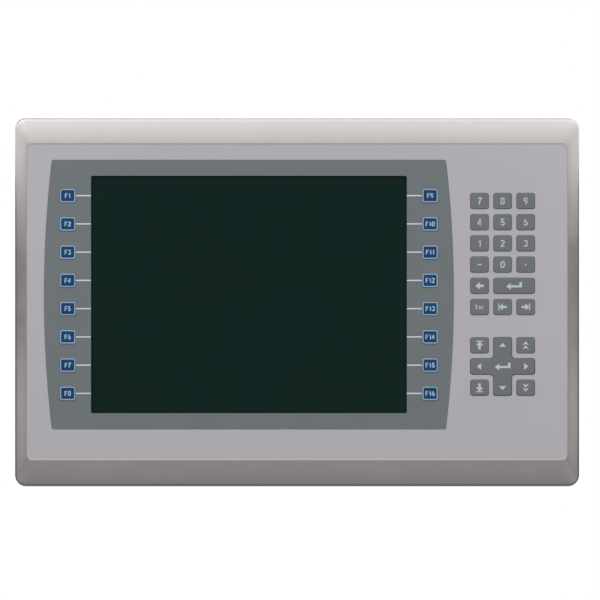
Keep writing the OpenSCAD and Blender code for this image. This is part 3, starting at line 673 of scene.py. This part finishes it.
SLIM_GLYPHS = {"key_minus": [bar(2.9, 0.75)], "key_point": [rounded_outline(1.15, 1.15, 0.5)]}


def print_shapes(name, shapes, x, z, front_y, body, material):
    """Printed flat shapes, given in millimetres round a key's centre."""
    bm = bmesh.new()
    for shape in shapes:
        outline = [(px * MM, pz * MM) for px, pz in shape]
        slab(bm, outline, front_y - 0.7 * PRINT_T, front_y + 0.3 * PRINT_T, x, z)
    finish_piece(new_object(name, bm, 20), body, material)


def make_legends():
    for i, node in enumerate(FUNCTION_KEYS):
        x, z, _, _, front_y = key_frame(node)
        print_text("legend_" + node, "F%d" % (i + 1), x, z, front_y + FUNCTION_SINK, 3.15 * MM, 0.20,
                   node + "_body", blue_print)
    for node, (text, height) in KEY_TEXTS.items():
        x, z, _, _, front_y = key_frame(node)
        print_text("legend_" + node, text, x, z, front_y, height * MM, 0.17,
                   node + "_body", grey_print)
    for node, shapes in {**KEY_GLYPHS, **SLIM_GLYPHS}.items():
        x, z, _, _, front_y = key_frame(node)
        print_shapes("legend_" + node, shapes, x, z, front_y, node + "_body", grey_print)
    low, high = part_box("cursor_pad")
    centre = (low + high) / 2
    step_x, step_z = 15.95, 14.6
    shapes = [moved(triangle(4.5, 2.9, 0), step_x, 0), moved(triangle(4.5, 2.9, 180), -step_x, 0),
              moved(triangle(4.7, 2.7, 90), 0, step_z), moved(triangle(4.7, 2.7, -90), 0, -step_z),
              enter_arrow()]
    print_shapes("legend_cursor_pad", shapes, centre.x, centre.z, low.y,
                 "cursor_pad_body", grey_print)


def make_leader_lines():
    """The printed lines from each function key to the display."""
    centre_x = (surround_low.x + surround_high.x) / 2
    bm = bmesh.new()
    for i, node in enumerate(FUNCTION_KEYS):
        x, z, width, _, _ = key_frame(node)
        side = -1 if i < 8 else 1
        inner = centre_x + side * (WINDOW_W / 2 + 0.1 * MM)
        outer = x - side * (width / 2 + 0.25 * MM)
        low_x, high_x = min(inner, outer), max(inner, outer)
        box_mesh(bm, (low_x, surround_low.y - 0.03 * MM, z - LINE_HALF),
                 (high_x, surround_low.y + 0.02 * MM, z + LINE_HALF))
    finish_piece(new_object("leader_lines", bm), CHASSIS, line_print)


# ---------------------------------------------------------------- studio

VIEW_W = 404.6 * MM  # width of the view at the face
AIM = Vector((1.96 * MM, 0, 1.4 * MM))
CAMERA_AWAY = 10.0


def make_camera():
    data = bpy.data.cameras.new("camera")
    data.sensor_width = 36
    data.lens = data.sensor_width * (CAMERA_AWAY + face_low.y) / VIEW_W
    camera = bpy.data.objects.new("camera", data)
    camera.location = AIM + Vector((0, -CAMERA_AWAY, 0))
    camera.rotation_euler = (math.pi / 2, 0, 0)
    bpy.context.scene.collection.objects.link(camera)
    bpy.context.scene.camera = camera


def area_light(name, place, target, width, height, power, colour=(1, 1, 1)):
    data = bpy.data.lights.new(name, "AREA")
    data.shape = "RECTANGLE"
    data.size, data.size_y = width, height
    data.energy = power
    data.color = colour
    light = bpy.data.objects.new(name, data)
    light.location = place
    light.visible_camera = False
    light.rotation_euler = (Vector(target) - Vector(place)).to_track_quat("-Z", "Y").to_euler()
    bpy.context.scene.collection.objects.link(light)


# Brightness of the sky by the height of its direction, ahead of the panel and behind it
COOL, NEUTRAL, WARM, ROSE = (0.99, 1.0, 1.0), (1.0, 0.99, 0.99), (1.0, 0.98, 0.95), (1.0, 0.88, 0.90)
FRONT_SKY = [(-1.0, 0.20, WARM), (-0.56, 0.15, WARM), (-0.37, 0.56, NEUTRAL), (0.0, 0.12, ROSE),
             (0.22, 0.38, ROSE), (0.37, 0.90, COOL), (0.56, 0.94, COOL),
             (0.8, 0.75, COOL), (1.0, 0.5, COOL)]
REAR_SKY = [(-1.0, 0.22, WARM), (-0.45, 0.24, WARM), (-0.2, 0.02, ROSE), (0.0, 0.01, ROSE),
            (0.18, 0.04, ROSE),
            (0.35, 0.42, NEUTRAL), (0.6, 0.85, COOL), (1.0, 0.5, COOL)]


def sky_stop(height, value, tint):
    return ((height + 1) / 2, tuple(value * t for t in tint) + (1,))


def floor_paper():
    """Pale paper that can be looked through from below."""
    paper = moulded("floor_paper", rgb(240, 240, 240), 0.8, 0.2, 1.0, 0.02, 0.01)
    tree = paper.node_tree
    below = tree.nodes.new("ShaderNodeNewGeometry").outputs["Backfacing"]
    mix = tree.nodes.new("ShaderNodeMixShader")
    tree.links.new(below, mix.inputs["Fac"])
    tree.links.new(tree.nodes["Principled BSDF"].outputs["BSDF"], mix.inputs[1])
    tree.links.new(tree.nodes.new("ShaderNodeBsdfTransparent").outputs["BSDF"], mix.inputs[2])
    tree.links.new(mix.outputs["Shader"], tree.nodes["Material Output"].inputs["Surface"])
    return paper


def make_studio():
    floor_bm = bmesh.new()
    bmesh.ops.create_circle(floor_bm, cap_ends=True, radius=0.62, segments=96)
    floor = new_object("floor", floor_bm)
    floor.location = (0, 0.02, -0.30)
    if floor.data.polygons[0].normal.z < 0:
        floor.data.flip_normals()
    floor.data.materials.append(floor_paper())
    floor.visible_glossy = False
    floor.visible_diffuse = False

    world = bpy.data.worlds.new("studio")
    world.use_nodes = True
    bpy.context.scene.world = world
    tree = world.node_tree
    tree.nodes.clear()
    coords = tree.nodes.new("ShaderNodeTexCoord").outputs["Generated"]
    split = tree.nodes.new("ShaderNodeSeparateXYZ")
    tree.links.new(coords, split.inputs["Vector"])
    height = add_node(tree, "ShaderNodeMapRange", From_Min=-1.0, From_Max=1.0)
    tree.links.new(split.outputs["Z"], height.inputs["Value"])
    front = ramp(tree, height.outputs["Result"], [sky_stop(*stop) for stop in FRONT_SKY])
    rear = ramp(tree, height.outputs["Result"], [sky_stop(*stop) for stop in REAR_SKY])
    behind = add_node(tree, "ShaderNodeMapRange", From_Min=-0.38, From_Max=0.02)
    tree.links.new(split.outputs["Y"], behind.inputs["Value"])
    both = tree.nodes.new("ShaderNodeMix")
    both.data_type = "RGBA"
    tree.links.new(behind.outputs["Result"], both.inputs["Factor"])
    tree.links.new(front, both.inputs[6])
    tree.links.new(rear, both.inputs[7])
    light = add_node(tree, "ShaderNodeBackground", Strength=1.5)
    tree.links.new(both.outputs[2], light.inputs["Color"])
    white = add_node(tree, "ShaderNodeBackground", Strength=1.0)
    white.inputs["Color"].default_value = (1, 1, 1, 1)
    path = tree.nodes.new("ShaderNodeLightPath")
    mix = tree.nodes.new("ShaderNodeMixShader")
    tree.links.new(path.outputs["Is Camera Ray"], mix.inputs["Fac"])
    tree.links.new(light.outputs["Background"], mix.inputs[1])
    tree.links.new(white.outputs["Background"], mix.inputs[2])
    output = tree.nodes.new("ShaderNodeOutputWorld")
    tree.links.new(mix.outputs["Shader"], output.inputs["Surface"])

    area_light("key", (-1.18, -1.68, 1.9), (0, 0, 0), 2.1, 1.5, 21.4)
    area_light("fill", (1.18, -1.68, 1.9), (0, 0, 0), 2.1, 1.5, 17.1)
    area_light("back", (0.8, 2.2, 2.0), (0, 0.03, 0), 3.0, 2.2, 34.0)
    area_light("top_card", (0, 0.45, 0.27), (0, 0, 0.124), 0.42, 0.27, 0.44)
    card_x = 0.36
    for side in (-1, 1):
        area_light("high_card", (side * card_x, -0.10, 0.145), (0, -0.10, 0.145), 0.20, 0.14, 0.094)
        area_light("corner_card", (side * card_x, -0.28, 0.175), (0, -0.28, 0.175), 0.16, 0.09, 0.045)
        area_light("rim_card", (side * card_x, 0.12, 0.155), (0, 0.12, 0.155), 0.24, 0.12, 0.17)
        area_light("low_card", (side * card_x, -0.13, -0.075), (0, -0.13, -0.075), 0.10, 0.08, 0.0145)
    bpy.context.scene.view_settings.view_transform = "Standard"


# ---------------------------------------------------------------- build

make_camera()
make_studio()
dress_cad_nodes()
dress_connectors()
make_label()
make_bezel()
for node in NUMBER_KEYS + CORNER_KEYS:
    make_grey_key(node)
for node in FUNCTION_KEYS:
    make_function_key(node)
make_cursor_pad()
make_legends()
make_leader_lines()
